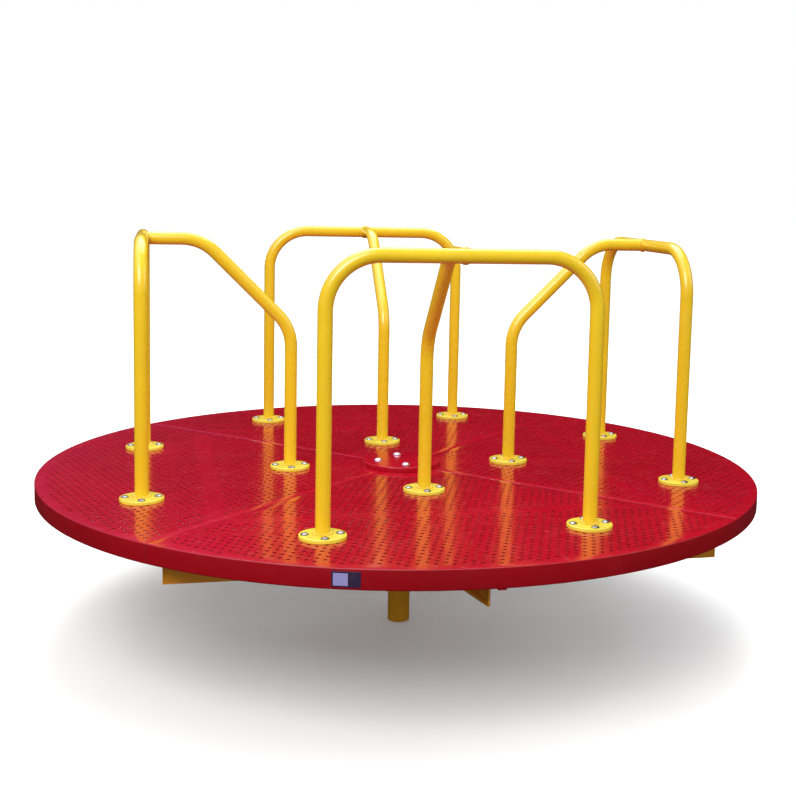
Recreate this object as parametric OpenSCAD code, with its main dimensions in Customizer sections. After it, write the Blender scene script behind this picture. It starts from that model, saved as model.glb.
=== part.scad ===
// Four-person merry go round: a round steel deck in four quadrant panels on a channel frame,
// four tube handrail assemblies bolted to the deck, and a tapered-roller hub that turns on a
// fixed centre post.
// Frame: origin at the centre of the post's bottom end, +Z up, the front handrail towards -Y.
// Parts that repeat on the four sides are drawn at the front and turned about Z. Millimetres.

/* [Deck] */
// outside diameter of the round deck
deck_d = 2438; // [2200:2:2640]
// height of the deck's top face above the bottom of the post
deck_z = 561; // [500:1:700]
// depth of the rim skirt, from the deck's top face down
skirt_h = 57; // [40:1:80]
// thickness of the deck panels' steel sheet
sheet_t = 3; // [2:0.5:4]
// half the gap between two neighbouring panels
seam_half = 0.75; // [0.5:0.25:1.5]
// width of the lip turned in at the bottom of the rim skirt
lip_w = 18; // [8:1:30]

/* [Post and hub] */
// outside diameter of the centre post pipe
post_d = 76.2; // [70:0.1:80]
// wall of the centre post pipe
post_wall = 5.5; // [4:0.5:8]
// outside diameter of the hub barrel
barrel_d = 120; // [110:1:140]
// diameter of the hub plate under the deck
hub_plate_d = 400; // [340:2:420]
// diameter of the round hub cap
cap_d = 266; // [240:2:310]
// height of the cap's top face above the deck
cap_h = 17; // [14:1:24]
// radius of the circle the four cap bolts sit on
cap_bolt_r = 82.5; // [76:0.5:95]

/* [Frame] */
// depth of the frame channels
chan_h = 127; // [100:1:140]
// width of the frame channels' flanges
chan_w = 45; // [36:1:50]
// web thickness of the frame channels
web_t = 6; // [4:0.5:8]
// flange thickness of the frame channels
lug_t = 8; // [6:0.5:10]
// distance from the centre to the outer face of each chord beam
chord_r = 817; // [800:1:820]
// reach of the four radial arms from the centre
arm_r = 1141; // [1000:1:1150]
// length over which the arms' lower flange tapers at the outer end
arm_taper = 180; // [100:10:200]

/* [Handrails] */
// outside diameter of the handrail tube
tube_d = 42.2; // [38:0.1:48.3]
// wall of the handrail tube
tube_wall = 3.6; // [2.5:0.1:4]
// height of the top bar's centreline above the deck
rail_h = 780; // [700:5:900]
// distance of each outer leg from the assembly's own centre plane
leg_x = 388; // [340:1:420]
// distance of the outer legs and top bar from the centre of the deck
leg_y = 877; // [877:1:900]
// distance of the inner leg from the centre of the deck
inner_y = 389; // [360:1:420]
// centreline radius of the tube bends
bend_r = 152; // [120:1:165]
// sideways run of the brace's sloping length
brace_run = 298; // [270:1:300]

/* [Floor flanges] */
// diameter of the round floor flanges
flange_d = 134; // [128:1:140]
// thickness of the floor flanges
flange_t = 11; // [8:0.5:14]
// diameter of the circle the four flange bolts sit on
flange_pcd = 100; // [96:1:104]
// thickness of the backing plates under the deck
back_t = 8; // [8:0.5:8]

/* [Hidden] */
$fn = 64;

yellow = [0.94, 0.76, 0.10];
red = [0.78, 0.04, 0.15];
dark_red = [0.52, 0.02, 0.08];
steel = [0.72, 0.73, 0.75];
inner_steel = [0.45, 0.45, 0.47];
seal_black = [0.12, 0.12, 0.13];
plate_grey = [0.75, 0.75, 0.80];

deck_r = deck_d / 2;
frame_top = deck_z - sheet_t;       // also the underside of the deck sheet
frame_z = frame_top - chan_h;       // underside of the frame
bed = 0.02;                         // paint film between bolted faces
cut = 1;                            // how far a cutter runs past a face
hub_hole_r = 62;                    // opening at the middle of the deck and the cap's spacer
cap_hole_r = 6.5;
flange_hole_r = 5.5;

// ---------- shared shapes and placings ----------
module quarter_turns() for (a = [0 : 90 : 270]) rotate([0, 0, a]) children();

module four_around(radius) quarter_turns() translate([radius, 0, 0]) children();

module hollow(height, outer, bore) difference() {
    cylinder(h = height, r = outer);
    translate([0, 0, -cut]) cylinder(h = height + 2 * cut, r = bore);
}

module hex_nut(height, radius, bore) difference() {
    cylinder(h = height, r = radius, $fn = 6);
    translate([0, 0, -cut]) cylinder(h = height + 2 * cut, r = bore);
}

// round head of a cup-head bolt: short straight lip, then a shallow dome
module dome_head(radius, height) {
    lip = 1;
    steps = 5;
    centre_z = (height * height - lip * lip - radius * radius) / (2 * (height - lip));
    dome_r = height - centre_z;
    spread = asin(radius / dome_r);
    dome = [for (i = [1 : steps]) let (a = spread * (1 - i / steps))
        [dome_r * sin(a), centre_z + dome_r * cos(a)]];
    rotate_extrude($fn = 48) polygon(concat([[0, 0], [radius, 0], [radius, lip]], dome));
}

// ---------- fixed centre: post, spindle and what is locked to it ----------
post_r = post_d / 2;
post_bore_r = post_r - post_wall;
post_top = deck_z - 175;
race_h = 18;                        // height of a bearing
lower_z0 = post_top + 20;           // lower bearing, bottom face
lower_z1 = lower_z0 + race_h;       // lower bearing, top face
upper_z1 = deck_z - 23;             // upper bearing, top face
upper_z0 = upper_z1 - race_h;       // upper bearing, bottom face
shoulder_r = 30;                    // spindle radii, from the bottom up
lower_seat_r = 25;
upper_seat_r = 20;
thread_r = 14;
washer_t = 3;
cotter_z = upper_z1 + 15;

// [radius, z], from the foot inside the pipe up to the threaded end
spindle_profile = [
    [0, post_top - 90], [post_bore_r - 2, post_top - 90], [post_bore_r, post_top - 86],
    [post_bore_r, post_top], [post_r - 1, post_top], [post_r - 1, post_top + 8],
    [shoulder_r, post_top + 8], [shoulder_r, lower_z0], [lower_seat_r, lower_z0],
    [lower_seat_r, lower_z1], [24, lower_z1 + 2], [24, upper_z0 - 8],
    [upper_seat_r, upper_z0 - 4], [upper_seat_r, upper_z1], [thread_r, upper_z1],
    [thread_r, deck_z - 1], [thread_r - 2, deck_z + 1], [0, deck_z + 1]];

module main_post() color(yellow) hollow(post_top, post_r, post_bore_r);

module spindle() color(inner_steel) difference() {
    rotate_extrude() polygon(spindle_profile);
    translate([0, 0, cotter_z]) rotate([90, 0, 0])
        cylinder(h = 40, r = 1.8, center = true, $fn = 24);
}

module spindle_washer() color(steel) translate([0, 0, upper_z1])
    hollow(washer_t, 25, thread_r + 0.2);

module castle_nut() color(steel) translate([0, 0, upper_z1 + washer_t]) difference() {
    hex_nut(15, 23, thread_r + 0.1);
    for (a = [30, 90, 150]) rotate([0, 0, a]) translate([-30, -2, 9.5]) cube([60, 4, 10]);
}

// straight pin with a ring at its back end
module cotter_pin() color(steel) translate([0, 0, cotter_z]) {
    rotate([90, 0, 0]) cylinder(h = 50, r = 1.6, center = true, $fn = 24);
    translate([0, 28.5, 0]) rotate([0, 90, 0]) difference() {
        cylinder(h = 2.4, r = 4.2, center = true, $fn = 32);
        cylinder(h = 4, r = 2.2, center = true, $fn = 32);
    }
}

// ---------- tapered roller bearings, every cone meeting at one point on the axis ----------
cup_r = 40;                         // outside radius of a bearing cup
roll_axis = 13;                     // slope of a roller's axis
roll_half = 1.6;                    // half angle of a roller
roll_mean = 32.5;                   // radius of the roller circle at mid height
roll_n = 24;
roll_len = 12;
roll_gap = 0.05;                    // taken off the rollers' radius
roll_dist = roll_mean / sin(roll_axis); // apex to the middle of a roller
apex = roll_dist * cos(roll_axis);  // height of the apex above mid height
cone_slope = tan(roll_axis - roll_half);
cup_slope = tan(roll_axis + roll_half);

// radius of a race's rolling face at height z above the bearing's wide face
function race_r(z, slope) = (apex + race_h / 2 - z) * slope;

module race_inner(bore) rotate_extrude() polygon([[bore, 0], [race_r(0, cone_slope), 0],
    [race_r(race_h, cone_slope), race_h], [bore, race_h]]);

module race_outer() rotate_extrude() polygon([[cup_r, 2], [cup_r, race_h],
    [race_r(race_h, cup_slope), race_h], [race_r(2, cup_slope), 2]]);

module roller_set() {
    near = roll_dist - roll_len / 2;
    far = roll_dist + roll_len / 2;
    for (i = [0 : roll_n - 1]) rotate([0, 0, i * 360 / roll_n])
        translate([0, 0, apex + race_h / 2]) rotate([0, 180 - roll_axis, 0])
            translate([0, 0, near]) cylinder(h = roll_len, r1 = near * tan(roll_half) - roll_gap,
                r2 = far * tan(roll_half) - roll_gap, $fn = 24);
}

// the lower bearing has its wide face down, the upper one is flipped
module at_lower() translate([0, 0, lower_z0]) children();
module at_upper() translate([0, 0, upper_z1]) mirror([0, 0, 1]) children();

module lower_cone() color(inner_steel) at_lower() race_inner(lower_seat_r);
module lower_cup() color(inner_steel) at_lower() race_outer();
module lower_rollers() color(steel) at_lower() roller_set();
module upper_cone() color(inner_steel) at_upper() race_inner(upper_seat_r);
module upper_cup() color(inner_steel) at_upper() race_outer();
module upper_rollers() color(steel) at_upper() roller_set();

// ---------- turning hub ----------
barrel_r = barrel_d / 2;
barrel_bore_r = 36;                 // bore between the two bearing seats
hub_plate_t = 10;
barrel_z0 = post_top + 12;
barrel_z1 = frame_top - hub_plate_t; // also the underside of the hub plate
cap_r = cap_d / 2;
cap_under = cap_h - 5;              // underside of the cap's top, above the deck
spacer_r = 112;                     // outside radius of the cap's spacer ring

module hub_barrel() color(yellow) rotate_extrude() polygon([
    [cup_r, barrel_z0], [barrel_r, barrel_z0], [barrel_r, barrel_z1], [cup_r, barrel_z1],
    [cup_r, upper_z0], [barrel_bore_r, upper_z0], [barrel_bore_r, lower_z1], [cup_r, lower_z1]]);

module grease_seal() color(seal_black) {
    seal_bore_r = shoulder_r + 0.05;
    rotate_extrude() polygon([
        [seal_bore_r, barrel_z0 + 1], [cup_r, barrel_z0 + 1], [cup_r, lower_z0 + 1],
        [37, lower_z0 + 1], [37, barrel_z0 + 4], [33, barrel_z0 + 4],
        [31, lower_z0 - 1], [seal_bore_r, lower_z0 - 1]]);
}

module dust_cap() color(steel) rotate_extrude() polygon([
    [cup_r - 1.5, upper_z1 + 3], [cup_r, upper_z1 + 3], [cup_r, deck_z + 2],
    [cup_r - 3, deck_z + 5], [0, deck_z + 5], [0, deck_z + 3.5],
    [cup_r - 3.6, deck_z + 3.5], [cup_r - 1.5, deck_z + 1.4]]);

module hub_plate() color(yellow) translate([0, 0, barrel_z1]) difference() {
    cylinder(h = hub_plate_t, r = hub_plate_d / 2, $fn = 96);
    translate([0, 0, -cut]) cylinder(h = hub_plate_t + 2 * cut, r = cup_r + 1.5);
    four_around(cap_bolt_r) translate([0, 0, -cut])
        cylinder(h = hub_plate_t + 2 * cut, r = cap_hole_r);
}

// round cover with a turned-down rim, on a thick spacer ring that the cap bolts pass through
module hub_cap() color(red) translate([0, 0, deck_z]) difference() {
    rotate_extrude($fn = 128) polygon([
        [hub_hole_r, bed], [spacer_r, bed], [spacer_r, cap_under], [cap_r - 4, cap_under],
        [cap_r - 4, bed], [cap_r, bed], [cap_r, cap_h - 2], [cap_r - 2, cap_h],
        [0, cap_h], [0, cap_under], [hub_hole_r, cap_under]]);
    four_around(cap_bolt_r) translate([0, 0, -cut])
        cylinder(h = cap_h + 2 * cut, r = cap_hole_r);
}

module hub_cap_bolts() color(steel) {
    cap_top = deck_z + cap_h;
    nut_h = 10;
    shank_z = barrel_z1 - nut_h - 4;
    four_around(cap_bolt_r) {
        translate([0, 0, cap_top]) dome_head(14.25, 8);
        translate([0, 0, shank_z]) cylinder(h = cap_top + 1 - shank_z, r = 6);
        translate([0, 0, barrel_z1 - nut_h]) hex_nut(nut_h, 11, 6.05);
    }
}

// ---------- channel frame ----------
chan_flange_zs = [frame_z, frame_top - lug_t]; // undersides of the two channel flanges
fit = 0.3;                          // clearance where one chord beam meets another

// radial arm, its open side to the left seen from outside
module arm() color(yellow) difference() {
    union() {
        translate([chan_w / 2 - web_t, -arm_r, frame_z]) cube([web_t, arm_r, chan_h]);
        for (z = chan_flange_zs) translate([-chan_w / 2, -arm_r, z]) cube([chan_w, arm_r, lug_t]);
    }
    translate([0, 0, frame_z - cut]) cylinder(h = chan_h + 2 * cut, r = barrel_r);
    translate([0, 0, barrel_z1]) cylinder(h = 40, r = hub_plate_d / 2 + 0.5, $fn = 96);
    // lower flange cut back on a slant at the outer end
    translate([0, 0, frame_z - cut]) linear_extrude(lug_t + 1.5) polygon([
        [-chan_w / 2 - cut, -arm_r - cut], [chan_w / 2 - web_t, -arm_r - cut],
        [-chan_w / 2 - cut, -arm_r + arm_taper]]);
    // two of the inner floor flange's bolts pass through the arm
    for (side = [-1, 1]) translate([0, -inner_y + side * flange_pcd / 2, frame_top - 20])
        cylinder(h = 30, r = flange_hole_r);
}

// chord beam half that butts into the side beams: web fitted between their flanges
module chord_butt() color(yellow) {
    corner_x = chord_r - chan_w - fit;
    length = corner_x - chan_w / 2;
    translate([chan_w / 2, -chord_r, frame_z]) cube([length, web_t, chan_h]);
    translate([corner_x, -chord_r, frame_z + lug_t + fit])
        cube([chan_w + fit - web_t, web_t, chan_h - 2 * (lug_t + fit)]);
    for (z = chan_flange_zs) translate([chan_w / 2, -chord_r, z]) cube([length, chan_w, lug_t]);
}

// chord beam half that runs through to the corner
module chord_thru() color(yellow) {
    length = chord_r - chan_w / 2;
    translate([chord_r - web_t, -chord_r, frame_z]) cube([web_t, length, chan_h]);
    for (z = chan_flange_zs) translate([chord_r - chan_w, -chord_r, z])
        cube([chan_w, length, lug_t]);
}

// ---------- deck ----------
skirt_z = deck_z - skirt_h;         // bottom of the rim skirt
rim_bevel = 2.5;
seam_start = 215;                   // inner end of the flanges turned down along the seams
seam_len = 850;
seam_h = 34;
seam_bolt_rs = [320, 620, 940];     // distances of the seam bolts from the centre

// [x, y] of the front assembly's right, left and inner floor flanges
flange_places = [[leg_x, -leg_y], [-leg_x, -leg_y], [0, -inner_y]];

// children lie across the seams that run out at the given angles
module at_seam_bolts(angles) for (a = angles, radius = seam_bolt_rs) rotate([0, 0, a])
    translate([radius, 0, frame_top - 18]) rotate([90, 0, 0]) children();

// the four bolt places of each floor flange of the front assembly
module at_flange_bolts() for (place = flange_places, a = [0 : 90 : 270])
    translate([place[0], place[1], 0]) rotate([0, 0, a]) translate([flange_pcd / 2, 0, 0])
        rotate([0, 0, -a]) children();

module panel() color(red) difference() {
    // drawn in the +X +Y quadrant, then turned to the front
    rotate([0, 0, -135]) union() {
        intersection() {
            rotate_extrude($fn = 256) polygon([
                [hub_hole_r, frame_top], [deck_r - sheet_t, frame_top],
                [deck_r - sheet_t, skirt_z + sheet_t], [deck_r - lip_w, skirt_z + sheet_t],
                [deck_r - lip_w, skirt_z], [deck_r, skirt_z],
                [deck_r, deck_z - rim_bevel], [deck_r - rim_bevel, deck_z], [hub_hole_r, deck_z]]);
            translate([seam_half, seam_half, skirt_z - 5])
                cube([deck_r + 10, deck_r + 10, skirt_h + 10]);
        }
        translate([seam_start, seam_half, frame_top - seam_h]) cube([seam_len, sheet_t, seam_h]);
        translate([seam_half, seam_start, frame_top - seam_h]) cube([sheet_t, seam_len, seam_h]);
    }
    at_flange_bolts() translate([0, 0, frame_top - 2])
        cylinder(h = sheet_t + 4, r = flange_hole_r, $fn = 32);
    translate([0, -cap_bolt_r, frame_top - 2]) cylinder(h = sheet_t + 4, r = cap_hole_r, $fn = 32);
    at_seam_bolts([-135, -45]) cylinder(h = 20, r = 4.5, center = true, $fn = 32);
}

module seam_bolts() color(steel) {
    face = seam_half + sheet_t;
    head_h = 5.3;
    nut_h = 6.5;
    at_seam_bolts([45, 135, 225, 315]) {
        cylinder(h = 22, r = 4, center = true, $fn = 32);
        translate([0, 0, face]) cylinder(h = head_h, r = 7.5, $fn = 6);
        translate([0, 0, -face - nut_h]) cylinder(h = nut_h, r = 7.5, $fn = 6);
    }
}

// small plates that tie the rim lip to the end of each arm
module rim_tabs() color(dark_red) quarter_turns() {
    translate([chan_w / 2, -deck_r + sheet_t, skirt_z - 4])
        cube([24, deck_r - sheet_t - arm_r + 40, 4]);
    translate([chan_w / 2, -arm_r - 2, skirt_z]) cube([5, 40, 24]);
}

// curved plate on the rim skirt, left of the front
module data_plate() color(plate_grey) rotate([0, 0, -109.2]) translate([0, 0, deck_z - 50])
    rotate_extrude(angle = 3.6, $fn = 256) translate([deck_r + bed, 0]) square([1.2 - bed, 42]);

// ---------- handrails ----------
tube_r = tube_d / 2;
tube_bore_r = tube_r - tube_wall;
flange_top = deck_z + flange_t;
bar_z = deck_z + rail_h;            // top bar centreline

module tube(length) hollow(length, tube_r, tube_bore_r);

module tube_bend(angle) rotate_extrude(angle = angle, $fn = 96) translate([bend_r, 0])
    difference() {
        circle(r = tube_r);
        circle(r = tube_bore_r);
    }

// inverted U: two legs, two corner bends and the top bar
module rail() color(yellow) translate([0, -leg_y, 0]) {
    bend_x = leg_x - bend_r;
    bend_z = bar_z - bend_r;
    for (side = [-1, 1]) translate([side * leg_x, 0, flange_top]) tube(bend_z - flange_top);
    translate([-bend_x, 0, bar_z]) rotate([0, 90, 0]) tube(2 * bend_x);
    for (flip = [0, 1]) mirror([flip, 0, 0]) translate([bend_x, 0, bend_z]) rotate([90, 0, 0])
        tube_bend(90);
}

// inner leg, 45 degree slope and level end, coped round the top bar
module brace() color(yellow) {
    tangent = bend_r * tan(22.5);   // from a bend's corner to where it starts
    slope_z = bar_z - brace_run;
    level_y = -inner_y - brace_run - tangent;
    slope_len = brace_run * sqrt(2) - 2 * tangent;
    lap = 1;                        // the slope runs this far into each bend
    skim = 0.4;                     // the slope's wall is thinner by this on both faces
    translate([0, -inner_y, flange_top]) tube(slope_z - tangent - flange_top);
    translate([0, -inner_y - bend_r, slope_z - tangent]) rotate([90, 0, 90]) tube_bend(45);
    translate([0, -inner_y - tangent * cos(45), slope_z + tangent * sin(45)]) rotate([45, 0, 0])
        translate([0, 0, -lap]) hollow(slope_len + 2 * lap, tube_r - skim, tube_bore_r + skim);
    translate([0, level_y, bar_z - bend_r]) rotate([0, -90, 0]) tube_bend(45);
    difference() {
        translate([0, level_y, bar_z]) rotate([90, 0, 0]) tube(level_y + leg_y);
        translate([-50, -leg_y, bar_z]) rotate([0, 90, 0]) cylinder(h = 100, r = tube_r + 0.3);
    }
}

// ---------- floor flanges and their bolts ----------
flange_r = flange_d / 2;
back_z = frame_top - back_t;        // underside of the backing plates
flange_nut_h = 8;

module flange_hole(height) translate([0, 0, -cut])
    cylinder(h = height + 2 * cut, r = flange_hole_r, $fn = 32);

module flange() color(yellow) difference() {
    rotate_extrude() polygon([[0, bed], [flange_r, bed], [flange_r, flange_t - 2],
        [flange_r - 2, flange_t], [0, flange_t]]);
    four_around(flange_pcd / 2) flange_hole(flange_t);
}

module flange_l() translate([-leg_x, -leg_y, deck_z]) flange();
module flange_r() translate([leg_x, -leg_y, deck_z]) flange();
module flange_in() translate([0, -inner_y, deck_z]) flange();

module flange_bolts() color(steel) {
    shank_z = back_z - flange_nut_h - 5;
    quarter_turns() at_flange_bolts() {
        translate([0, 0, flange_top]) dome_head(12, 6.2);
        translate([0, 0, shank_z]) cylinder(h = flange_top + 1 - shank_z, r = 5, $fn = 32);
    }
}

module flange_nuts() color(steel) quarter_turns() at_flange_bolts()
    translate([0, 0, back_z - flange_nut_h]) hex_nut(flange_nut_h, 9.6, 5.05, $fn = 32);

// a plate under each outer leg, and one on either side of the arm under the inner leg
module flange_backing() color(yellow) quarter_turns() for (side = [-1, 1]) {
    translate([side * leg_x, -leg_y, back_z]) difference() {
        translate([-64, -62, 0]) cube([128, 120, back_t]);
        four_around(flange_pcd / 2) flange_hole(back_t);
    }
    translate([side * flange_pcd / 2, -inner_y, back_z]) difference() {
        translate([-18, -30, 0]) cube([36, 60, back_t]);
        flange_hole(back_t);
    }
}

main_post();
spindle();
lower_cone();
upper_cone();
spindle_washer();
castle_nut();
cotter_pin();
lower_rollers();
upper_rollers();
hub_barrel();
lower_cup();
upper_cup();
grease_seal();
dust_cap();
hub_plate();
hub_cap();
hub_cap_bolts();
arm();  // arm_front
rotate([0, 0, 90]) arm();  // arm_right
rotate([0, 0, 180]) arm();  // arm_back
rotate([0, 0, 270]) arm();  // arm_left
mirror([1, 0, 0]) chord_butt();  // chord_front_left
chord_butt();  // chord_front_right
rotate([0, 0, 180]) chord_butt();  // chord_back_left
mirror([0, 1, 0]) chord_butt();  // chord_back_right
mirror([1, 0, 0]) chord_thru();  // chord_left_front
rotate([0, 0, 180]) chord_thru();  // chord_left_back
chord_thru();  // chord_right_front
mirror([0, 1, 0]) chord_thru();  // chord_right_back
panel();  // panel_front
rotate([0, 0, 90]) panel();  // panel_right
rotate([0, 0, 180]) panel();  // panel_back
rotate([0, 0, 270]) panel();  // panel_left
rail();  // rail_front
rotate([0, 0, 90]) rail();  // rail_right
rotate([0, 0, 180]) rail();  // rail_back
rotate([0, 0, 270]) rail();  // rail_left
brace();  // brace_front
rotate([0, 0, 90]) brace();  // brace_right
rotate([0, 0, 180]) brace();  // brace_back
rotate([0, 0, 270]) brace();  // brace_left
flange_l();  // flange_front_l
flange_r();  // flange_front_r
flange_in();  // flange_front_in
rotate([0, 0, 90]) flange_l();  // flange_right_l
rotate([0, 0, 90]) flange_r();  // flange_right_r
rotate([0, 0, 90]) flange_in();  // flange_right_in
rotate([0, 0, 180]) flange_l();  // flange_back_l
rotate([0, 0, 180]) flange_r();  // flange_back_r
rotate([0, 0, 180]) flange_in();  // flange_back_in
rotate([0, 0, 270]) flange_l();  // flange_left_l
rotate([0, 0, 270]) flange_r();  // flange_left_r
rotate([0, 0, 270]) flange_in();  // flange_left_in
flange_bolts();
flange_nuts();
flange_backing();
seam_bolts();
data_plate();
rim_tabs();
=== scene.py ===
"""Round revolving work platform: a red perforated deck in four panels, four yellow
handrails with braces, and a hub on a post.

Metres, +Z up. The post stands on z = 0 at the origin; the front faces -Y and the right
side is +X. Each side is modelled at the front, then turned about Z.
"""
from math import asin, cos, hypot, pi, radians, sin, sqrt, tan, tau

import bmesh
import bpy
from mathutils import Matrix, Vector
from mathutils.geometry import delaunay_2d_cdt


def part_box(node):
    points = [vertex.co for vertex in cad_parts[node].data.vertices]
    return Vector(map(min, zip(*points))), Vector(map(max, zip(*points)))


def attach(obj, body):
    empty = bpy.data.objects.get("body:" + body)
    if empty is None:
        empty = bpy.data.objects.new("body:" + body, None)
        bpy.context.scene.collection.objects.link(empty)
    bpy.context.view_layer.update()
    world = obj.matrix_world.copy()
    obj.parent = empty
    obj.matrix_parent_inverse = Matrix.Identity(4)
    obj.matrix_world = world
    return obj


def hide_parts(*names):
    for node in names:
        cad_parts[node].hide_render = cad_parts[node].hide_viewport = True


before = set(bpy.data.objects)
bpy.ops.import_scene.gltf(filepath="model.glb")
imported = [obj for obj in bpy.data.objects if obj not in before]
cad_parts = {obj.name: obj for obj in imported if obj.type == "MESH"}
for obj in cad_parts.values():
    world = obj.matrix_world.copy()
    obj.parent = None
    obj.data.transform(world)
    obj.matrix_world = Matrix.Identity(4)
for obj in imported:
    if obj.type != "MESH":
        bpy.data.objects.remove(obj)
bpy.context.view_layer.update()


scene = bpy.context.scene

# ---------------------------------------------------------------- sizes, read from the frame
panel_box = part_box("panel_front")
DECK_TOP = panel_box[1].z
DECK_BASE = panel_box[0].z              # bottom of the rim skirt
DECK_R = -panel_box[0].y
SHEET = 0.003
SHEET_BOTTOM = DECK_TOP - SHEET

flange_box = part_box("flange_front_l")
FLANGE_R = (flange_box[1].x - flange_box[0].x) / 2
FLANGE_T = flange_box[1].z - flange_box[0].z
FLANGE_TOP = DECK_TOP + FLANGE_T
LEG_X = -(flange_box[0].x + flange_box[1].x) / 2
LEG_Y = -(flange_box[0].y + flange_box[1].y) / 2
inner_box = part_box("flange_front_in")
INNER_Y = -(inner_box[0].y + inner_box[1].y) / 2

rail_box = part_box("rail_front")
TUBE_R = (rail_box[1].y - rail_box[0].y) / 2
RAIL_Z = rail_box[1].z - TUBE_R         # centreline of the top rail

cap_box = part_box("hub_cap")
CAP_R = (cap_box[1].x - cap_box[0].x) / 2
CAP_TOP = cap_box[1].z
post_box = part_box("main_post")
POST_R = (post_box[1].x - post_box[0].x) / 2
POST_TOP = post_box[1].z

BOLT_CIRCLE_R = 0.100 / 2               # four bolts round each floor flange
CAP_BOLT_CIRCLE_R = 0.0825

SIDES = (("front", 0), ("right", 90), ("back", 180), ("left", 270))
# floor flanges of the front side: tag, x, y
FLANGES = (("l", -LEG_X, -LEG_Y), ("r", LEG_X, -LEG_Y), ("in", 0.0, -INNER_Y))


# ---------------------------------------------------------------- shader nodes
def opaque(rgb, gain=1):
    return tuple(min(c * gain, 1) for c in rgb) + (1,)


def grey(level):
    return (level, level, level, 1)


class Graph:
    """Short ways to add nodes to an emptied node tree."""

    def __init__(self, tree):
        self.tree = tree
        tree.nodes.clear()

    def node(self, kind):
        return self.tree.nodes.new(kind)

    def feed(self, socket, source):
        """Set a socket to a plain value, or link it to another node's output."""
        if isinstance(source, (int, float, tuple)):
            socket.default_value = source
        else:
            self.tree.links.new(source, socket)

    def ramp(self, factor, stops):
        node = self.node("ShaderNodeValToRGB")
        elements = node.color_ramp.elements
        for element, stop in ((elements[0], stops[0]), (elements[1], stops[-1])):
            element.position, element.color = stop
        for position, color in stops[1:-1]:
            elements.new(position).color = color
        self.feed(node.inputs[0], factor)
        return node.outputs[0]

    def remap(self, value, span, to):
        node = self.node("ShaderNodeMapRange")
        names = ("From Min", "From Max", "To Min", "To Max")
        for name, limit in zip(names, (*span, *to)):
            node.inputs[name].default_value = limit
        self.feed(node.inputs["Value"], value)
        return node.outputs[0]

    def mix(self, factor, first, second, blend="MIX"):
        node = self.node("ShaderNodeMix")
        node.data_type = "RGBA"
        node.blend_type = blend
        for index, source in ((0, factor), (6, first), (7, second)):
            self.feed(node.inputs[index], source)
        return node.outputs[2]

    def math(self, operation, value, by):
        node = self.node("ShaderNodeMath")
        node.operation = operation
        self.feed(node.inputs[0], value)
        self.feed(node.inputs[1], by)
        return node.outputs[0]


class Surface(Graph):
    """A new material: one Principled shader, textured in object space."""

    def __init__(self, name):
        self.material = bpy.data.materials.new(name)
        self.material.use_nodes = True
        super().__init__(self.material.node_tree)
        output = self.node("ShaderNodeOutputMaterial")
        self.shader = self.node("ShaderNodeBsdfPrincipled")
        self.feed(output.inputs[0], self.shader.outputs[0])
        self.place = self.node("ShaderNodeTexCoord").outputs["Object"]

    def set(self, name, source):
        self.feed(self.shader.inputs[name], source)

    def noise(self, scale, detail=3.0, rough=0.55, distortion=0.0, at=None):
        node = self.node("ShaderNodeTexNoise")
        node.inputs["Scale"].default_value = scale
        node.inputs["Detail"].default_value = detail
        node.inputs["Roughness"].default_value = rough
        node.inputs["Distortion"].default_value = distortion
        self.feed(node.inputs["Vector"], self.place if at is None else at)
        return node.outputs["Fac"]

    def bump(self, height, strength, distance, over=None):
        node = self.node("ShaderNodeBump")
        node.inputs["Strength"].default_value = strength
        node.inputs["Distance"].default_value = distance
        self.feed(node.inputs["Height"], height)
        if over is not None:
            self.feed(node.inputs["Normal"], over)
        return node.outputs[0]


# ---------------------------------------------------------------- materials
DUST = (0.55, 0.50, 0.47)
CHIP = (0.20, 0.17, 0.15)
GRIME = (0.10, 0.085, 0.06)


def coated(name, rgb, rough=0.25, coat=0.5, shade=0.82, tint=None, peel=0.10, wave=0.0,
           chips=0.0, dust=0.06, specular=0.5):
    """Powder coat: colour drift, speckle, orange peel, scuffs, dust film and a few chips."""
    s = Surface(name)
    drift = s.noise(scale=2.3, detail=4, rough=0.6)
    base = s.ramp(drift, [(0.3, opaque(rgb, shade)), (0.52, opaque(rgb)),
                          (0.75, opaque(tint or rgb, 1.06))])
    speckle = s.noise(scale=420, detail=2, rough=0.5)
    base = s.mix(s.remap(speckle, span=(0.35, 0.65), to=(0.0, 0.06)), base, opaque(rgb, 0.6))
    film = s.noise(scale=7.0, detail=6, rough=0.7)
    base = s.mix(s.remap(film, span=(0.56, 0.80), to=(0.0, dust)), base, opaque(DUST))

    scuff = s.noise(scale=38, detail=5, rough=0.65, distortion=0.6)
    dull = s.remap(scuff, span=(0.42, 0.75), to=(rough, rough + 0.14))
    dull = s.math("ADD", dull, by=s.remap(film, span=(0.5, 0.8), to=(0.0, 0.08)))

    normal = s.bump(s.noise(scale=300, detail=2, rough=0.5), strength=peel, distance=0.0006)
    if wave > 0:
        slow = s.noise(scale=9.0, detail=2, rough=0.4)
        normal = s.bump(slow, strength=wave, distance=0.004, over=normal)

    if chips > 0:
        cells = s.node("ShaderNodeTexVoronoi")
        cells.inputs["Scale"].default_value = 26
        s.feed(cells.inputs["Vector"], s.place)
        # small spots at cell centres, kept only in patches
        spots = s.math("LESS_THAN", cells.outputs["Distance"], by=0.045)
        patches = s.math("GREATER_THAN", s.noise(scale=3.1, detail=2), by=0.62)
        spots = s.math("MULTIPLY", spots, by=patches)
        base = s.mix(s.math("MULTIPLY", spots, by=chips), base, opaque(CHIP))

    s.set("Base Color", base)
    s.set("Roughness", dull)
    s.set("Normal", normal)
    s.set("Coat Weight", coat)
    s.set("Coat Roughness", 0.06)
    s.set("Specular IOR Level", specular)
    return s.material


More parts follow.
